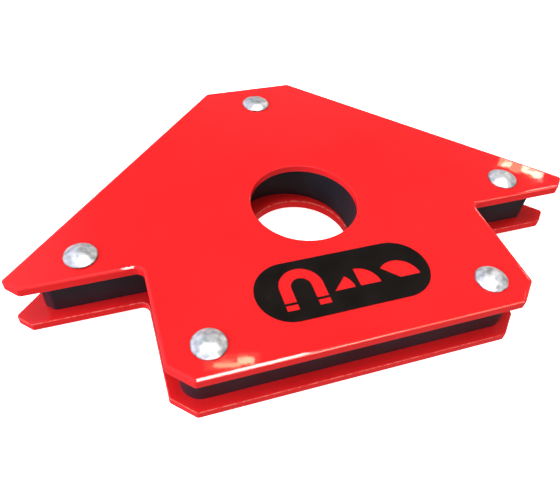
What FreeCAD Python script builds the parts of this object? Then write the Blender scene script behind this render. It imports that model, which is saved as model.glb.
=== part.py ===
# Arrow-shaped welding magnet, lying flat on its lower rivet heads.
# Two enamelled steel plates are riveted over a black moulded core, and the core
# carries ferrite magnet blocks that touch both plates.
# Millimetres.  X runs across the wings, Y from the base edge to the apex, Z up.
# The origin is under the middle of the part, level with the lowest rivet heads.
import FreeCAD, Part
import math
import os

Vector = FreeCAD.Vector
UP = Vector(0, 0, 1)

# Outline shared by both plates, as a right half
plate_length = 101.0
apex_half_width = 13.75
tip_half_span = 77.5
tip_chamfer = 3.65
tail_half_width = 45.5
tail_height = 33.6
tail_chamfer = 5.4
corner_radius = 1.0
notch_radius = 2.0

# Stack of plates and core
plate_thickness = 2.7
core_thickness = 11.2
outer_roll = 0.8
inner_roll = 0.35

# Central hole, as (x, distance from the base edge)
plate_hole = (0.0, 45.7)
plate_hole_radius = 14.5
core_hole = (-2.4, 46.9)
core_hole_radius = 17.3

# Core outline, set back from the plates
core_inset = 3.1
core_tip_offset = 31.3
core_corner_radius = 1.5
core_tail_radius = 5.0

# Rivets
shank_radius = 2.4
shank_clearance = 0.05
head_radius = 4.1
head_flat_radius = 1.0
head_height = 1.7
rivet_places = {
    "rivet_apex": (0.0, 91.8),
    "rivet_wing_left": (-59.1, 40.4),
    "rivet_wing_right": (59.1, 40.4),
    "rivet_tail_left": (-35.3, 8.2),
    "rivet_tail_right": (35.3, 8.2),
}

# Magnet blocks on the middle line, then on the right, which the left repeats:
# (name, centre x, centre distance from the base edge, width, depth, turn in degrees)
pocket_clearance = 0.1
middle_magnets = [
    ("magnet_base_middle", 0.0, 16.0, 18.0, 18.0, 0.0),
    ("magnet_apex", 0.0, 75.0, 20.0, 15.0, 0.0),
]
side_magnets = [
    ("magnet_base", 20.5, 16.0, 18.0, 18.0, 0.0),
    ("magnet_tail", 35.7, 22.5, 8.0, 15.0, 0.0),
    ("magnet_wing_inner", 31.5, 48.5, 18.0, 18.0, 0.0),
    ("magnet_wing_outer", 48.5, 45.5, 12.0, 12.0, 0.0),
    ("magnet_flank", 25.0, 71.2, 15.0, 15.0, 45.0),
]

# Printed label: a black pill with its marks left open, a horseshoe and three angle wedges
label_length = 44.6
label_width = 17.3
label_thickness = 0.12
label_centre = (0.0, 17.3)
horseshoe_place = (-10.6, 18.0)
horseshoe_outer = 5.5
horseshoe_inner = 2.5
horseshoe_leg = 6.2
pole_height = 1.6
pole_gap = 0.6
wedge_corners = {45.0: -3.4, 90.0: 3.3, 135.0: 13.8}
wedge_radius = 5.4
wedge_base = 14.6

bottom_z = head_height
core_z = bottom_z + plate_thickness
upper_z = core_z + core_thickness
top_z = upper_z + plate_thickness
middle_y = plate_length / 2.0


def at(x, from_base, z=0.0):
    """Point given by its distance from the base edge."""
    return Vector(x, from_base - middle_y, z)


def rounded_outline(corners, z):
    """Closed wire through (x, from_base, radius) corners, each rounded by a tangent arc."""
    points = [at(x, y, z) for x, y, _ in corners]
    starts = []
    ends = []
    arcs = []
    for i, corner in enumerate(corners):
        here = points[i]
        back = (points[i - 1] - here).normalize()
        ahead = (points[(i + 1) % len(points)] - here).normalize()
        half_angle = back.getAngle(ahead) / 2.0
        radius = corner[2]
        reach = radius / math.tan(half_angle)
        bisector = (back + ahead).normalize()
        nearest = here + bisector * (radius / math.sin(half_angle) - radius)
        starts.append(here + back * reach)
        ends.append(here + ahead * reach)
        arcs.append(Part.Arc(starts[-1], nearest, ends[-1]).toShape())
    edges = []
    for i in range(len(corners)):
        edges.append(Part.LineSegment(ends[i - 1], starts[i]).toShape())
        edges.append(arcs[i])
    return Part.Wire(edges)


def both_sides(right_half):
    """Right-hand corners, from base to apex, followed by their mirror images."""
    return right_half + [(-x, y, radius) for x, y, radius in reversed(right_half)]


def post(x, from_base, radius, z, height):
    return Part.makeCylinder(radius, height, at(x, from_base, z), UP)


def rim_edges(shape, z):
    """Edges of the outline and of the central hole at one height, without the rivet holes."""
    found = []
    for edge in shape.Edges:
        box = edge.BoundBox
        level = abs(box.ZMin - z) < 1e-6 and abs(box.ZMax - z) < 1e-6
        rivet_hole = edge.isClosed() and edge.Curve.Radius < head_radius
        if level and not rivet_hole:
            found.append(edge)
    return found


def make_plate(z, outer_z, inner_z):
    """Punched plate: sharp on its inner face, rolled over and enamelled on its outer face."""
    tip_x = tip_half_span - tip_chamfer
    chamfer_x = tail_half_width - tail_chamfer
    corners = both_sides([
        (chamfer_x, 0.0, corner_radius),
        (tail_half_width, tail_chamfer, corner_radius),
        (tail_half_width, tail_height, notch_radius),
        (tip_x, tail_height, corner_radius),
        (tip_half_span, tail_height + tip_chamfer, corner_radius),
        (apex_half_width, plate_length, corner_radius),
    ])
    shape = Part.Face(rounded_outline(corners, z)).extrude(UP * plate_thickness)
    shape = shape.cut(post(*plate_hole, plate_hole_radius, z, plate_thickness))
    for x, y in rivet_places.values():
        shape = shape.cut(post(x, y, shank_radius + shank_clearance, z, plate_thickness))
    shape = shape.makeFillet(outer_roll, rim_edges(shape, outer_z))
    return shape.makeFillet(inner_roll, rim_edges(shape, inner_z))


def make_block(x, from_base, width, depth, turn, grow=0.0):
    """Magnet block, or its pocket when grown by the clearance."""
    wide = width + 2 * grow
    deep = depth + 2 * grow
    block = Part.makeBox(wide, deep, core_thickness, Vector(-wide / 2, -deep / 2, 0))
    block.rotate(Vector(0, 0, 0), UP, turn)
    block.translate(at(x, from_base, core_z))
    return block


def all_magnets():
    blocks = {name: place for name, *place in middle_magnets}
    for name, x, y, width, depth, turn in side_magnets:
        blocks[name + "_left"] = [-x, y, width, depth, -turn]
        blocks[name + "_right"] = [x, y, width, depth, turn]
    return blocks


def make_core(blocks):
    """Moulded spacer: follows the outline, pocketed for the blocks, bored for the rivets."""
    side_x = tail_half_width - core_inset
    wing_y = tail_height + core_inset
    long_edge = apex_half_width + plate_length - core_inset * math.sqrt(2)
    tip_x = (long_edge + core_tip_offset) / 2
    apex_y = plate_length - core_inset
    corners = both_sides([
        (side_x, core_inset, core_tail_radius),
        (side_x, wing_y, notch_radius),
        (wing_y + core_tip_offset, wing_y, core_corner_radius),
        (tip_x, long_edge - tip_x, core_corner_radius),
        (long_edge - apex_y, apex_y, core_corner_radius),
    ])
    shape = Part.Face(rounded_outline(corners, core_z)).extrude(UP * core_thickness)
    shape = shape.cut(post(*core_hole, core_hole_radius, core_z, core_thickness))
    for x, y in rivet_places.values():
        shape = shape.cut(post(x, y, shank_radius + shank_clearance, core_z, core_thickness))
    for place in blocks.values():
        shape = shape.cut(make_block(*place, grow=pocket_clearance))
    return shape


def make_rivet(x, from_base):
    """Solid rivet with a low dome at each end and a small flat on each dome."""
    dome_width = head_radius - head_flat_radius
    dome_radius = (dome_width ** 2 + head_height ** 2) / (2 * head_height)
    half_turn = math.asin(dome_width / dome_radius) / 2

    def head(z, way):
        """Arc from the head's rim to its flat, on the upper (1) or lower (-1) end."""
        rim = Vector(head_radius, 0, z)
        mid_x = head_flat_radius + dome_radius * math.sin(half_turn)
        mid_z = z + way * (head_height - dome_radius + dome_radius * math.cos(half_turn))
        flat = Vector(head_flat_radius, 0, z + way * head_height)
        return Part.Arc(rim, Vector(mid_x, 0, mid_z), flat).toShape()

    def line(r1, z1, r2, z2):
        return Part.LineSegment(Vector(r1, 0, z1), Vector(r2, 0, z2)).toShape()

    low = bottom_z - head_height
    high = top_z + head_height
    profile = [
        line(0, low, head_flat_radius, low),
        head(bottom_z, -1),
        line(head_radius, bottom_z, shank_radius, bottom_z),
        line(shank_radius, bottom_z, shank_radius, top_z),
        line(shank_radius, top_z, head_radius, top_z),
        head(top_z, 1),
        line(head_flat_radius, high, 0, high),
        line(0, high, 0, low),
    ]
    face = Part.Face(Part.Wire(Part.__sortEdges__(profile)))
    shape = face.revolve(Vector(0, 0, 0), UP, 360)
    shape.translate(at(x, from_base))
    return Part.Solid(shape.Shells[0])


def make_horseshoe():
    """Upright horseshoe magnet whose two poles are set off by a thin gap."""
    x, y = horseshoe_place
    width = horseshoe_outer - horseshoe_inner
    bow = post(x, y, horseshoe_outer, top_z, label_thickness)
    bow = bow.cut(post(x, y, horseshoe_inner, top_z, label_thickness))
    below = Part.makeBox(2 * horseshoe_outer, horseshoe_outer, label_thickness,
                         at(x - horseshoe_outer, y - horseshoe_outer, top_z))
    pieces = [bow.cut(below)]
    leg_height = horseshoe_leg - pole_height - pole_gap
    for left in (x - horseshoe_outer, x + horseshoe_inner):
        leg = at(left, y - leg_height, top_z)
        pole = at(left, y - horseshoe_leg, top_z)
        pieces.append(Part.makeBox(width, leg_height, label_thickness, leg))
        pieces.append(Part.makeBox(width, pole_height, label_thickness, pole))
    return pieces


def make_wedge(x, degrees):
    """Filled sector that shows one of the set angles, level along its lower side."""
    corner = at(x, wedge_base, top_z)
    return Part.makeCylinder(wedge_radius, label_thickness, corner, UP, degrees)


def make_label():
    """Printed pill on the upper plate, with the marks left open to the enamel."""
    x, y = label_centre
    end = label_width / 2
    straight = label_length - label_width
    shape = Part.makeBox(straight, label_width, label_thickness, at(x - straight / 2, y - end, top_z))
    for side in (-1, 1):
        shape = shape.fuse(post(x + side * straight / 2, y, end, top_z, label_thickness))
    shape = shape.removeSplitter()
    marks = make_horseshoe() + [make_wedge(place, turn) for turn, place in wedge_corners.items()]
    for mark in marks:
        shape = shape.cut(mark)
    return shape


def save(name, shape):
    solids = shape.Solids
    assert len(solids) == 1 and shape.isValid(), name
    solids[0].exportStep("parts/" + name + ".step")
    box = shape.BoundBox
    print("%-26s %9.1f mm3  x %7.2f %7.2f  y %7.2f %7.2f  z %6.2f %6.2f" % (
        name, shape.Volume, box.XMin, box.XMax, box.YMin, box.YMax, box.ZMin, box.ZMax))


os.makedirs("parts", exist_ok=True)
magnet_blocks = all_magnets()
save("bottom_plate", make_plate(bottom_z, bottom_z, core_z))
save("top_plate", make_plate(upper_z, top_z, upper_z))
save("core", make_core(magnet_blocks))
for magnet_name, magnet_place in magnet_blocks.items():
    save(magnet_name, make_block(*magnet_place))
for rivet_name, rivet_place in rivet_places.items():
    save(rivet_name, make_rivet(*rivet_place))
save("label", make_label())
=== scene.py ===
"""Arrow-shaped welding magnet: enamelled steel plates riveted over a black magnet core."""
import math

import bmesh
import bpy
from mathutils import Matrix, Vector, noise


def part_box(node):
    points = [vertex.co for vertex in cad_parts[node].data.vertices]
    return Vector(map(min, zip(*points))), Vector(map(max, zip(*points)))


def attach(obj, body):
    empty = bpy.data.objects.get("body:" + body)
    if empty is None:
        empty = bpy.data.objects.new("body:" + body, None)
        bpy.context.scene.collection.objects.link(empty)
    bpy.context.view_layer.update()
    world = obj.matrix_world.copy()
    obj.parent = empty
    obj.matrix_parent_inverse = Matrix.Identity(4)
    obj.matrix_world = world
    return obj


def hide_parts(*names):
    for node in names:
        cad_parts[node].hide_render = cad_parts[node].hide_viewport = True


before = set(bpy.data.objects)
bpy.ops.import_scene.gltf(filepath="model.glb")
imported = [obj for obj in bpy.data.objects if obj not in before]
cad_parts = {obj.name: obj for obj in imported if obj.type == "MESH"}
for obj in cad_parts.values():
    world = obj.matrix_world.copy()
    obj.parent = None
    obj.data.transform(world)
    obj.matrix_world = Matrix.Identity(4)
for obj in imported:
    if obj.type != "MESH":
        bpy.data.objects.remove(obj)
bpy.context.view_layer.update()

# ------------------------------------------------------------------ core
# The core is a black glass-filled nylon moulding that fills the space between the
# plates. It stops about 3 mm short of their edges and is held by the rivets.
# Its walls show the satin grain of the tool and faint drag lines along the draw.


def new_finish(name):
    """Empty finish, its node tree, its shader and the place on the part in metres."""
    finish = bpy.data.materials.new(name)
    finish.use_nodes = True
    tree = finish.node_tree
    place = tree.nodes.new("ShaderNodeTexCoord").outputs["Object"]
    return finish, tree, tree.nodes["Principled BSDF"], place


def grain(tree, place, size, detail=3.0, stretch=(1.0, 1.0, 1.0)):
    """Noise with lumps about size metres across, longer along an axis whose stretch is small."""
    fit = tree.nodes.new("ShaderNodeMapping")
    fit.inputs["Scale"].default_value = stretch
    lumps = tree.nodes.new("ShaderNodeTexNoise")
    lumps.inputs["Scale"].default_value = 1.0 / size
    lumps.inputs["Detail"].default_value = detail
    tree.links.new(place, fit.inputs["Vector"])
    tree.links.new(fit.outputs["Vector"], lumps.inputs["Vector"])
    return lumps.outputs["Fac"]


def tint(tree, amount, stops):
    """Colour ramp from (position, colour) stops."""
    ramp = tree.nodes.new("ShaderNodeValToRGB")
    band = ramp.color_ramp
    while len(band.elements) < len(stops):
        band.elements.new(0.5)
    for stop, (position, colour) in zip(band.elements, stops):
        stop.position = position
        stop.color = (*colour, 1.0)
    tree.links.new(amount, ramp.inputs["Fac"])
    return ramp.outputs["Color"]


def spread(tree, amount, low, high, start=0.3, end=0.7):
    """Amounts between start and end, spread from low to high."""
    scale = tree.nodes.new("ShaderNodeMapRange")
    scale.inputs["From Min"].default_value = start
    scale.inputs["From Max"].default_value = end
    scale.inputs["To Min"].default_value = low
    scale.inputs["To Max"].default_value = high
    tree.links.new(amount, scale.inputs["Value"])
    return scale.outputs["Result"]


def relief(tree, height, depth, under=None):
    """Surface relief of the given depth in metres, laid over another relief."""
    bump = tree.nodes.new("ShaderNodeBump")
    bump.inputs["Distance"].default_value = depth
    tree.links.new(height, bump.inputs["Height"])
    if under is not None:
        tree.links.new(under, bump.inputs["Normal"])
    return bump.outputs["Normal"]


def dress(node, finish):
    """Give a piece of the frame its finish."""
    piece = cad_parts[node]
    piece.data.materials.clear()
    piece.data.materials.append(finish)


black_nylon, tree, shader, place = new_finish("black_nylon")
cloud = grain(tree, place, 0.009)
tree.links.new(tint(tree, cloud, [(0.3, (0.012, 0.0115, 0.0145)), (0.7, (0.022, 0.021, 0.025))]),
               shader.inputs["Base Color"])
shader.inputs["Specular IOR Level"].default_value = 0.4
tree.links.new(spread(tree, cloud, 0.34, 0.50), shader.inputs["Roughness"])
draw_lines = grain(tree, place, 0.0011, stretch=(1.0, 1.0, 0.12))
tool_grain = grain(tree, place, 0.00025)
tree.links.new(relief(tree, tool_grain, 0.00003, relief(tree, draw_lines, 0.00008)),
               shader.inputs["Normal"])
dress("core", black_nylon)

# --------------------------------------------------------------- magnets
# Ferrite blocks sit in the core's pockets and touch both plates. They are pressed
# and fired ceramic, charcoal grey, ground flat and slightly dusty at the edges.
ferrite, tree, shader, place = new_finish("ferrite")
speckle = grain(tree, place, 0.0006, detail=5.0)
tree.links.new(tint(tree, speckle, [(0.35, (0.030, 0.030, 0.033)), (0.7, (0.075, 0.074, 0.078))]),
               shader.inputs["Base Color"])
tree.links.new(spread(tree, speckle, 0.55, 0.8), shader.inputs["Roughness"])
tree.links.new(relief(tree, speckle, 0.00006), shader.inputs["Normal"])
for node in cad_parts:
    if node.startswith("magnet_"):
        dress(node, ferrite)

# ---------------------------------------------------------------- plates
# Two identical punched steel plates in thick red stoving enamel, one turned over. The
# punch rolls each outer face down at its rim, and the enamel fills it to a soft bead.
# The enamel flows, so the faces have a faint long wave and a fine orange peel.
MM = 0.001
length = 101.0 * MM
tail_half = 45.5 * MM
tail_cut = 5.4 * MM
tail_height = 33.6 * MM
tip_half = 77.5 * MM
tip_cut = 3.65 * MM
apex_half = 13.75 * MM
corner = 1.05 * MM
notch_corner = 2.0 * MM
apex_corner = 1.4 * MM
right_corners = [
    (tail_half - tail_cut, 0.0, corner),
    (tail_half, tail_cut, corner),
    (tail_half, tail_height, notch_corner),
    (tip_half - tip_cut, tail_height, corner),
    (tip_half, tail_height + tip_cut, corner),
    (apex_half, length, apex_corner),
]
plate_corners = right_corners + [(-x, y, r) for x, y, r in reversed(right_corners)]
hole_centre = (0.0, 45.7 * MM)
hole_radius = 14.5 * MM
rivet_hole_radius = 2.45 * MM
edge_break = 0.25 * MM
rivet_hole_break = 0.05 * MM
rim_roll = (0.90 * MM, 0.50 * MM)
hole_roll = (0.30 * MM, 0.25 * MM)
smallest_turn = 0.05 * MM
corner_steps = 6
break_steps = 5
roll_steps = 16
hole_steps = 128
rivet_hole_steps = 32


def put(name, data):
    """New object in the scene."""
    item = bpy.data.objects.new(name, data)
    bpy.context.scene.collection.objects.link(item)
    return item


def outline_loop(inset):
    """Points and outward normals of the rim, moved into the plate by inset."""
    loop = []
    for i, (x, y, radius) in enumerate(plate_corners):
        here = Vector((x, y))
        back = (Vector(plate_corners[i - 1][:2]) - here).normalized()
        ahead = (Vector(plate_corners[(i + 1) % len(plate_corners)][:2]) - here).normalized()
        bulge = 1 if ahead.x * back.y - ahead.y * back.x > 0 else -1
        half_angle = back.angle(ahead) / 2
        middle = (back + ahead).normalized()
        turn_radius = max(radius - bulge * inset, smallest_turn)
        centre = here + middle * (bulge * inset + turn_radius) / math.sin(half_angle)
        start = math.atan2(back.x, -back.y)
        sweep = bulge * (math.pi - 2 * half_angle)
        for step in range(corner_steps + 1):
            turn = start + sweep * step / corner_steps
            normal = Vector((math.cos(turn), math.sin(turn)))
            loop.append((centre + normal * bulge * turn_radius, normal))
    return loop


def hole_loop(centre, radius, inset, steps):
    """Points of a hole's edge, moved into the plate by inset, with normals facing the hole."""
    loop = []
    for step in range(steps):
        turn = -2 * math.pi * step / steps
        out = Vector((math.cos(turn), math.sin(turn)))
        loop.append((Vector(centre) + out * (radius + inset), -out))
    return loop


def wall_rows(break_width, break_depth):
    """(inset, height, tilt, wear and painted highlight) of rows from the inner face round its broken
    edge to the wall; the edge is painted pale, part rubbed enamel, part painted highlight.
    """
    rows = []
    for step in range(break_steps + 1):
        turn = math.pi / 2 * step / break_steps
        fall = math.atan2(math.cos(turn) * break_width, math.sin(turn) * break_depth)
        rows.append((break_width * (1 - math.sin(turn)), break_depth * (1 - math.cos(turn)),
                     -fall, 0.5 * math.sin(2 * turn)))
    return rows


def roll_rows(thickness, roll_width, roll_depth):
    """(inset, height, tilt, wear and painted highlight) of rows from the wall over the rolled edge to
    the outer face.
    """
    rows = []
    for step in range(roll_steps + 1):
        turn = math.pi / 2 * step / roll_steps
        rise = math.atan2(math.sin(turn) * roll_width, math.cos(turn) * roll_depth)
        rows.append((roll_width * (1 - math.cos(turn)),
                     thickness - roll_depth * (1 - math.sin(turn)), rise, 0.0))
    return rows


def build_plate(node, face_up, hole_break):
    """Enamelled plate, its rolled face up or down, and the bead of enamel round its outline."""
    low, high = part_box(node)
    thickness = high.z - low.z
    inner_z = low.z if face_up else high.z
    way = 1 if face_up else -1

    def skin(sheet, loop_at, rows):
        """Add rows of skin to a sheet; returns the edges of the first and last row."""
        mesh, normals, wear_and_highlight = sheet
        rings = []
        for inset, height, tilt, rubbed_and_highlit in rows:
            ring = []
            for point, normal in loop_at(inset):
                ring.append(mesh.verts.new((point.x, point.y - length / 2, inner_z + way * height)))
                flat = math.cos(tilt)
                normals.append((normal.x * flat, normal.y * flat, way * math.sin(tilt)))
                wear_and_highlight.append(rubbed_and_highlit)
            rings.append(ring)
        for ring, above in zip(rings, rings[1:]):
            for i in range(len(ring)):
                j = (i + 1) % len(ring)
                quad = (ring[i], ring[j], above[j], above[i])
                mesh.faces.new(quad[::way])
        ends = []
        for ring in (rings[0], rings[-1]):
            pairs = [(ring[i], ring[i - 1]) for i in range(len(ring))]
            ends.append([mesh.edges.get(pair) or mesh.edges.new(pair) for pair in pairs])
        return ends

    def finish_piece(sheet, name):
        """Turn a sheet into a piece in red enamel."""
        mesh, normals, wear_and_highlight = sheet
        data = bpy.data.meshes.new(name)
        mesh.to_mesh(data)
        mesh.free()
        data.shade_smooth()
        data.normals_split_custom_set_from_vertices(normals)
        data.attributes.new("rubbed_rim_and_painted_highlight", "FLOAT", "POINT").data.foreach_set("value", wear_and_highlight)
        data.materials.append(red_enamel)
        piece = put(name, data)
        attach(piece, "root")
        return piece

    outer_roll = roll_rows(thickness, *rim_roll)
    bead = (bmesh.new(), [], [])
    skin(bead, outline_loop, outer_roll)
    plate = (bmesh.new(), [], [])
    outline_wall = wall_rows(edge_break, edge_break) + outer_roll[:1]
    inner_edges = skin(plate, outline_loop, outline_wall)[0]
    outer_edges = skin(plate, outline_loop, outer_roll[-1:])[1]
    hole_rows = wall_rows(hole_break * 2, hole_break) + roll_rows(thickness, *hole_roll)
    ends = skin(plate, lambda inset: hole_loop(hole_centre, hole_radius, inset, hole_steps), hole_rows)
    inner_edges += ends[0]
    outer_edges += ends[1]
    rivet_rows = wall_rows(rivet_hole_break, rivet_hole_break)
    rivet_rows += roll_rows(thickness, rivet_hole_break, rivet_hole_break)
    for rivet in rivet_nodes:
        start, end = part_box(rivet)
        centre = ((start.x + end.x) / 2, (start.y + end.y) / 2 + length / 2)
        ends = skin(plate, lambda inset: hole_loop(centre, rivet_hole_radius, inset, rivet_hole_steps),
                    rivet_rows)
        inner_edges += ends[0]
        outer_edges += ends[1]
    for edges, facing in ((inner_edges, -way), (outer_edges, way)):
        filled = bmesh.ops.triangle_fill(plate[0], use_beauty=True, edges=edges)
        faces = [part for part in filled["geom"] if isinstance(part, bmesh.types.BMFace)]
        for face in faces:
            face.normal_update()
        bmesh.ops.reverse_faces(plate[0], faces=[f for f in faces if f.normal.z * facing < 0])
    body = finish_piece(plate, node + "_enamelled")
    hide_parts(node)
    beads.append(finish_piece(bead, node + "_bead"))


def mix_where_marked(tree, fresh, where, colour, patches):
    """Fresh colour, turning patchily to another where a mesh attribute marks it: rubbed enamel with a
    painted highlight, or a painted shadow at a rivet's foot.
    """
    marked = tree.nodes.new("ShaderNodeAttribute")
    marked.attribute_name = where
    amount = tree.nodes.new("ShaderNodeMath")
    amount.operation = "MULTIPLY"
    tree.links.new(marked.outputs["Fac"], amount.inputs[0])
    tree.links.new(spread(tree, patches, 0.1, 1.0, 0.40, 0.62), amount.inputs[1])
    mixed = tree.nodes.new("ShaderNodeMix")
    mixed.data_type = "RGBA"
    mixed.inputs["B"].default_value = (*colour, 1.0)
    tree.links.new(amount.outputs["Value"], mixed.inputs["Factor"])
    tree.links.new(fresh, mixed.inputs["A"])
    return mixed.outputs["Result"]


red_enamel, tree, shader, place = new_finish("red_enamel")
flow = grain(tree, place, 0.035, detail=2.0)
fresh = tint(tree, flow, [(0.35, (0.84, 0.014, 0.014)), (0.65, (0.90, 0.017, 0.017))])
# The inner edges of both plates turn a pale, patchy orange: part rubbed enamel, part a painted
# highlight along the edge.
tree.links.new(mix_where_marked(tree, fresh, "rubbed_rim_and_painted_highlight", (0.95, 0.36, 0.25), grain(tree, place, 0.0010)),
               shader.inputs["Base Color"])
tree.links.new(spread(tree, grain(tree, place, 0.012), 0.025, 0.050), shader.inputs["Roughness"])
long_wave = relief(tree, grain(tree, place, 0.016, detail=1.0), 0.00003)
sag = relief(tree, grain(tree, place, 0.005, detail=1.0), 0.000012, long_wave)
orange_peel = relief(tree, grain(tree, place, 0.0018, detail=1.5), 0.000003, sag)
tree.links.new(orange_peel, shader.inputs["Normal"])
rivet_nodes = sorted(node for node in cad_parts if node.startswith("rivet_"))
beads = []
build_plate("bottom_plate", face_up=False, hole_break=0.25 * MM)
build_plate("top_plate", face_up=True, hole_break=0.85 * MM)

# ----------------------------------------------------------------- label
# The label is one coat of black ink screened straight onto the enamel. A horseshoe
# magnet and three angle wedges are left open, so the red shows through them.
label_ink, tree, shader, place = new_finish("label_ink")
smear = grain(tree, place, 0.006, detail=4.0)
tree.links.new(tint(tree, smear, [(0.35, (0.006, 0.004, 0.003)), (0.75, (0.011, 0.008, 0.006))]),
               shader.inputs["Base Color"])
shader.inputs["Specular IOR Level"].default_value = 0.35
tree.links.new(spread(tree, smear, 0.10, 0.20), shader.inputs["Roughness"])
tree.links.new(relief(tree, grain(tree, place, 0.0005), 0.00001), shader.inputs["Normal"])
dress("label", label_ink)

# ---------------------------------------------------------------- rivets
# Five solid aluminium rivets clamp the stack. Each end is a low dome with a thin rim,
# and the snap tool leaves it bright, slightly lumpy and a little out of round.
aluminium, tree, shader, place = new_finish("rivet_aluminium")
shader.inputs["Metallic"].default_value = 0.7
worn = grain(tree, place, 0.0016)
clean = tint(tree, worn, [
    (0.3, (0.42, 0.46, 0.44)), (0.48, (0.66, 0.67, 0.66)), (0.65, (0.88, 0.88, 0.87))])
# The foot and rim of each head are painted dark brown: a painted shadow where the head meets the
# plate.
tree.links.new(mix_where_marked(tree, clean, "painted_foot_shadow", (0.10, 0.05, 0.04), grain(tree, place, 0.0025)),
               shader.inputs["Base Color"])
tree.links.new(spread(tree, worn, 0.34, 0.50), shader.inputs["Roughness"])
snap_marks = relief(tree, grain(tree, place, 0.0011, detail=2.0), 0.00005)
tree.links.new(relief(tree, grain(tree, place, 0.0003), 0.000006, snap_marks),
               shader.inputs["Normal"])

rim_height = 0.45 * MM
rim_round = 0.15 * MM
undercut = 0.35 * MM
undercut_height = 0.16 * MM
crown_dip = 0.02 * MM
dome_power = 2.2
lumps_per_metre = 380
lump_depth = 0.04 * MM
out_of_round = 0.012
around = 72
dome_steps = 16


def head_profile(radius, height):
    """Radius, height and painted foot shadow of each ring of a head, from its foot to near its crown.
    """
    rings = [(radius - undercut, 0.0, 1.0), (radius - undercut / 2, undercut_height / 3, 1.0),
             (radius, undercut_height, 1.0), (radius, rim_height - rim_round, 1.0)]
    for step in range(1, 4):
        turn = math.radians(30 * step)
        rings.append((radius - rim_round * (1 - math.cos(turn)),
                      rim_height - rim_round + rim_round * math.sin(turn), 1.1 - 0.2 * step))
    for step in range(1, dome_steps):
        share = 1 - step / dome_steps
        r = (radius - rim_round) * share
        rings.append((r, rim_height + (height - rim_height) * (1 - share ** dome_power), 0.0))
    return rings


def snap_head(mesh, foot_shadow, centre, face_z, way, radius, height, seed):
    """One lumpy dome, standing on a plate's face and pointing up (1) or down (-1)."""
    offset = Vector((seed * 7.3, seed * 3.1, way * 5.0))
    last = None
    for r, z, shadowed in head_profile(radius, height):
        ring = []
        for step in range(around):
            turn = 2 * math.pi * step / around
            at = Vector((r * math.cos(turn), r * math.sin(turn), 0))
            lump = noise.noise(at * lumps_per_metre + offset)
            sink = lump_depth * (0.5 + lump) * min(1.0, z / rim_height)
            bulge = noise.noise(Vector((math.cos(turn), math.sin(turn), seed)))
            shrink = 1 - out_of_round * (0.5 + bulge)
            ring.append(mesh.verts.new((centre.x + at.x * shrink, centre.y + at.y * shrink,
                                        face_z + way * max(z - max(sink, 0), 0))))
            foot_shadow.append(shadowed)
        if last:
            for i in range(around):
                j = (i + 1) % around
                quad = (last[i], last[j], ring[j], ring[i])
                mesh.faces.new(quad if way > 0 else quad[::-1])
        last = ring
    crown = mesh.verts.new((centre.x, centre.y, face_z + way * (height - crown_dip)))
    foot_shadow.append(0.0)
    for i in range(around):
        tri = (last[i], last[(i + 1) % around], crown)
        mesh.faces.new(tri if way > 0 else tri[::-1])


def snap_rivet(node, seed):
    """Rivet with a head on each plate, standing for one rivet of the frame."""
    low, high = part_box(node)
    centre = (low + high) / 2
    head_radius = (high.x - low.x) / 2
    top_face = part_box("top_plate")[1].z
    bottom_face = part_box("bottom_plate")[0].z
    mesh = bmesh.new()
    foot_shadow = []
    snap_head(mesh, foot_shadow, centre, top_face, 1, head_radius, high.z - top_face, seed)
    snap_head(mesh, foot_shadow, centre, bottom_face, -1, head_radius, bottom_face - low.z, seed)
    data = bpy.data.meshes.new(node + "_snapped")
    mesh.to_mesh(data)
    mesh.free()
    data.shade_smooth()
    data.attributes.new("painted_foot_shadow", "FLOAT", "POINT").data.foreach_set("value", foot_shadow)
    rivet = put(node + "_snapped", data)
    data.materials.append(aluminium)
    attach(rivet, "root")
    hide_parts(node)
    return rivet


snapped = [snap_rivet(node, count + 1) for count, node in enumerate(rivet_nodes)]

# ------------------------------------------------------ floor and light
# A white paper floor and backdrop, and a grey sheet under them that only reflections see. Soft
# lamps overhead and at the sides light the part. The other lamps only glint in its gloss: long
# strips in the rolled rims, a glow in the rivets, and small warm windows in the top face.
floor_half = 6.0
sheet_drop = 0.002
floor_data = bpy.data.meshes.new("floor")
floor_corners = [(x * floor_half, y * floor_half, 0) for x, y in ((-1, -1), (1, -1), (1, 1), (-1, 1))]
floor_data.from_pydata(floor_corners, [], [(0, 1, 2, 3)])
floor = put("floor", floor_data)
white_paper, tree, shader, place = new_finish("white_paper")
mottle = grain(tree, place, 0.15)
tree.links.new(tint(tree, mottle, [(0.3, (0.90, 0.90, 0.90)), (0.7, (0.93, 0.93, 0.93))]),
               shader.inputs["Base Color"])
shader.inputs["Roughness"].default_value = 0.9
shader.inputs["Specular IOR Level"].default_value = 0.1
shader.inputs["Emission Color"].default_value = (1, 1, 1, 1)
shader.inputs["Emission Strength"].default_value = 1.0
floor_data.materials.append(white_paper)
floor.visible_diffuse = False
floor.visible_glossy = False

shade_data = floor_data.copy()
shade_data.name = "floor_shade"
shade_data.transform(Matrix.Translation((0, 0, -sheet_drop)))
shade = put("floor_shade", shade_data)
grey_paper, tree, shader, place = new_finish("grey_paper")
mottle = grain(tree, place, 0.15)
tree.links.new(tint(tree, mottle, [(0.3, (0.10, 0.10, 0.10)), (0.7, (0.13, 0.13, 0.13))]),
               shader.inputs["Emission Color"])
shader.inputs["Emission Strength"].default_value = 1.0
shader.inputs["Base Color"].default_value = (0.05, 0.05, 0.05, 1)
shader.inputs["Specular IOR Level"].default_value = 0.1
shade_data.materials.clear()
shade_data.materials.append(grey_paper)
shade.visible_diffuse = False
shade.visible_camera = False

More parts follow.
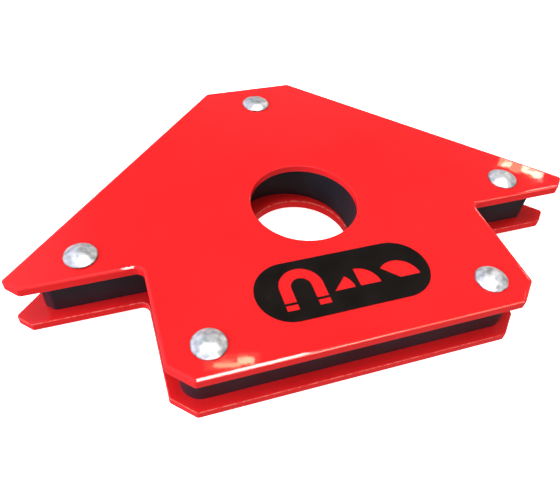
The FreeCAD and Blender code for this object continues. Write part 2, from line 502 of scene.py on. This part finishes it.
backdrop_radius = 5.9
backdrop_height = 6.0
backdrop_sides = 64
wall = bmesh.new()
feet = []
for side in range(backdrop_sides):
    turn = 2 * math.pi * side / backdrop_sides
    across = backdrop_radius * math.cos(turn)
    along = backdrop_radius * math.sin(turn)
    feet.append((wall.verts.new((across, along, 0)), wall.verts.new((across, along, backdrop_height))))
for (foot, head), (last_foot, last_head) in zip(feet, feet[-1:] + feet[:-1]):
    wall.faces.new((foot, last_foot, last_head, head))
backdrop_data = bpy.data.meshes.new("backdrop")
wall.to_mesh(backdrop_data)
wall.free()
backdrop_data.materials.append(white_paper)
backdrop = put("backdrop", backdrop_data)
backdrop.visible_diffuse = False
backdrop.visible_glossy = False
backdrop.visible_shadow = False


def lamp(name, spot, aim, size, power, colour=(1, 1, 1), glints=False, only=None):
    """Rectangular lamp at spot, facing aim, lengths in metres. It lights the part, or glints in it."""
    data = bpy.data.lights.new(name, "AREA")
    data.shape = "RECTANGLE"
    data.size, data.size_y = size
    data.energy = power
    data.color = colour
    body = put(name, data)
    body.location = spot
    body.rotation_euler = (Vector(aim) - Vector(spot)).to_track_quat("-Z", "Y").to_euler()
    body.visible_diffuse = not glints
    body.visible_glossy = glints
    if only:
        lit = bpy.data.collections.new(name + "_lit")
        for piece in only:
            lit.objects.link(piece)
        body.light_linking.receiver_collection = lit


lamp("ceiling", (0.0, 0.0, 1.0), (0, 0, 0), (0.5, 0.4), 4.6)
lamp("left_softbox", (-0.80, -0.10, 0.60), (0, 0, 0), (0.5, 0.5), 2.6, (0.92, 0.95, 1.0))
lamp("cool_left", (-0.92, -0.14, 0.33), (0, 0, 0), (0.5, 0.3), 9.5, (0.55, 0.64, 1.0))
lamp("warm_right", (0.85, -0.35, 0.18), (0, 0, 0), (0.4, 0.2), 1.4, (1.0, 0.92, 0.80))
lamp("rim_strip", (0.095, -0.35, 0.95), (0.095, -0.35, 0), (0.31, 1.30), 30.0,
     (1.0, 0.97, 0.92), glints=True, only=beads)
lamp("warm_strip", (0.375, -0.85, 0.95), (0.375, -0.85, 0), (0.25, 1.00), 13.0,
     (1.0, 0.74, 0.54), glints=True, only=beads)
lamp("dim_strip", (0.80, -0.85, 0.95), (0.80, -0.85, 0), (0.60, 1.00), 15.0,
     (1.0, 0.66, 0.42), glints=True, only=beads)
lamp("rivet_glow", (0.095, -0.10, 0.95), (0, 0, 0), (0.35, 0.50), 6.0,
     (1.0, 0.98, 0.97), glints=True, only=snapped)
for count, (spot, size, power, colour) in enumerate([
        ((0.779, 0.582, 0.652), (0.042, 0.013), 0.0270, (1.00, 0.88, 0.70)),
        ((0.761, 0.601, 0.653), (0.080, 0.022), 0.0340, (1.00, 0.62, 0.36)),
        ((0.744, 0.618, 0.655), (0.017, 0.009), 0.0060, (1.00, 0.86, 0.66)),
        ((0.732, 0.628, 0.657), (0.005, 0.014), 0.0010, (1.00, 0.66, 0.40)),
        ((0.750, 0.600, 0.662), (0.018, 0.004), 0.0010, (1.00, 0.64, 0.38))]):
    lamp(f"window_pane_{count}", spot, (0.068, -0.008, 0.018), size, power, colour, glints=True)
for count, (y, z) in enumerate([(0.375, 0.668), (0.264, 0.733), (0.135, 0.768)]):
    lamp(f"tip_glint_{count}", (0.71, y, z), (0.069, -0.015, 0.018), (0.06, 0.07), 0.20,
         (1.0, 0.92, 0.82), glints=True, only=beads)
lamp("low_window", (0.90, 0.62, 0.42), (0.045, -0.02, 0.018), (0.10, 0.26), 0.8,
     (1.0, 0.95, 0.9), glints=True)
lamp("warm_bulb", (0.156, 0.498, 0.978), (-0.029, -0.048, 0.018), (0.034, 0.010), 0.0230,
     (1.0, 0.72, 0.44), glints=True)
lamp("warm_tail", (0.117, 0.501, 0.983), (-0.033, -0.048, 0.018), (0.056, 0.009), 0.0260,
     (1.0, 0.62, 0.34), glints=True)
lamp("warm_haze", (0.127, 0.505, 0.979), (-0.032, -0.048, 0.018), (0.115, 0.036), 0.0210,
     (1.0, 0.62, 0.40), glints=True)

# The room's walls, shaded by height from the horizon up to straight overhead. The left wall
# is cool, and the front wall is lighter than the back one.
world = bpy.data.worlds.new("room")
world.use_nodes = True
sky = world.node_tree
bpy.context.scene.world = world
way = sky.nodes.new("ShaderNodeTexCoord").outputs["Generated"]
split = sky.nodes.new("ShaderNodeSeparateXYZ")
sky.links.new(way, split.inputs["Vector"])
back_wall = tint(sky, split.outputs["Z"], [
    (0.0, (0.85, 0.82, 0.80)), (0.08, (0.40, 0.40, 0.41)), (0.46, (0.35, 0.35, 0.36)),
    (0.60, (0.15, 0.15, 0.15)), (0.90, (0.15, 0.15, 0.15)), (0.98, (1.3, 1.3, 1.3))])
front_wall = tint(sky, split.outputs["Z"], [
    (0.0, (0.95, 0.92, 0.90)), (0.06, (0.56, 0.58, 0.70)), (0.25, (0.52, 0.54, 0.65)),
    (0.50, (0.45, 0.45, 0.45)), (0.90, (0.45, 0.45, 0.45)), (0.98, (1.3, 1.3, 1.3))])
left_wall = tint(sky, split.outputs["Z"], [(0.0, (0.90, 0.91, 0.94)), (0.08, (0.60, 0.63, 0.76))])
room = sky.nodes.new("ShaderNodeMix")
room.data_type = "RGBA"
sky.links.new(spread(sky, split.outputs["Y"], 1.0, 0.0, -0.35, 0.05), room.inputs["Factor"])
sky.links.new(back_wall, room.inputs["A"])
sky.links.new(front_wall, room.inputs["B"])
corner_room = sky.nodes.new("ShaderNodeMix")
corner_room.data_type = "RGBA"
sky.links.new(spread(sky, split.outputs["X"], 1.0, 0.0, -0.22, -0.03), corner_room.inputs["Factor"])
sky.links.new(room.outputs["Result"], corner_room.inputs["A"])
sky.links.new(left_wall, corner_room.inputs["B"])
sky.links.new(corner_room.outputs["Result"], sky.nodes["Background"].inputs["Color"])

# ---------------------------------------------------------------- camera
# Close wide view from the front left, looking down on the part.
camera_data = bpy.data.cameras.new("camera")
camera_data.sensor_width = 36.0
camera_data.lens = 37.0
camera_data.shift_x = 0.0206
camera_data.shift_y = 0.0010
camera_data.clip_start = 0.005
camera = put("camera", camera_data)
camera.location = (-0.04913, -0.10868, 0.12451)
camera.rotation_euler = (math.radians(41.638), math.radians(-3.334), math.radians(-17.389))
bpy.context.scene.camera = camera
bpy.context.scene.view_settings.view_transform = "Standard"
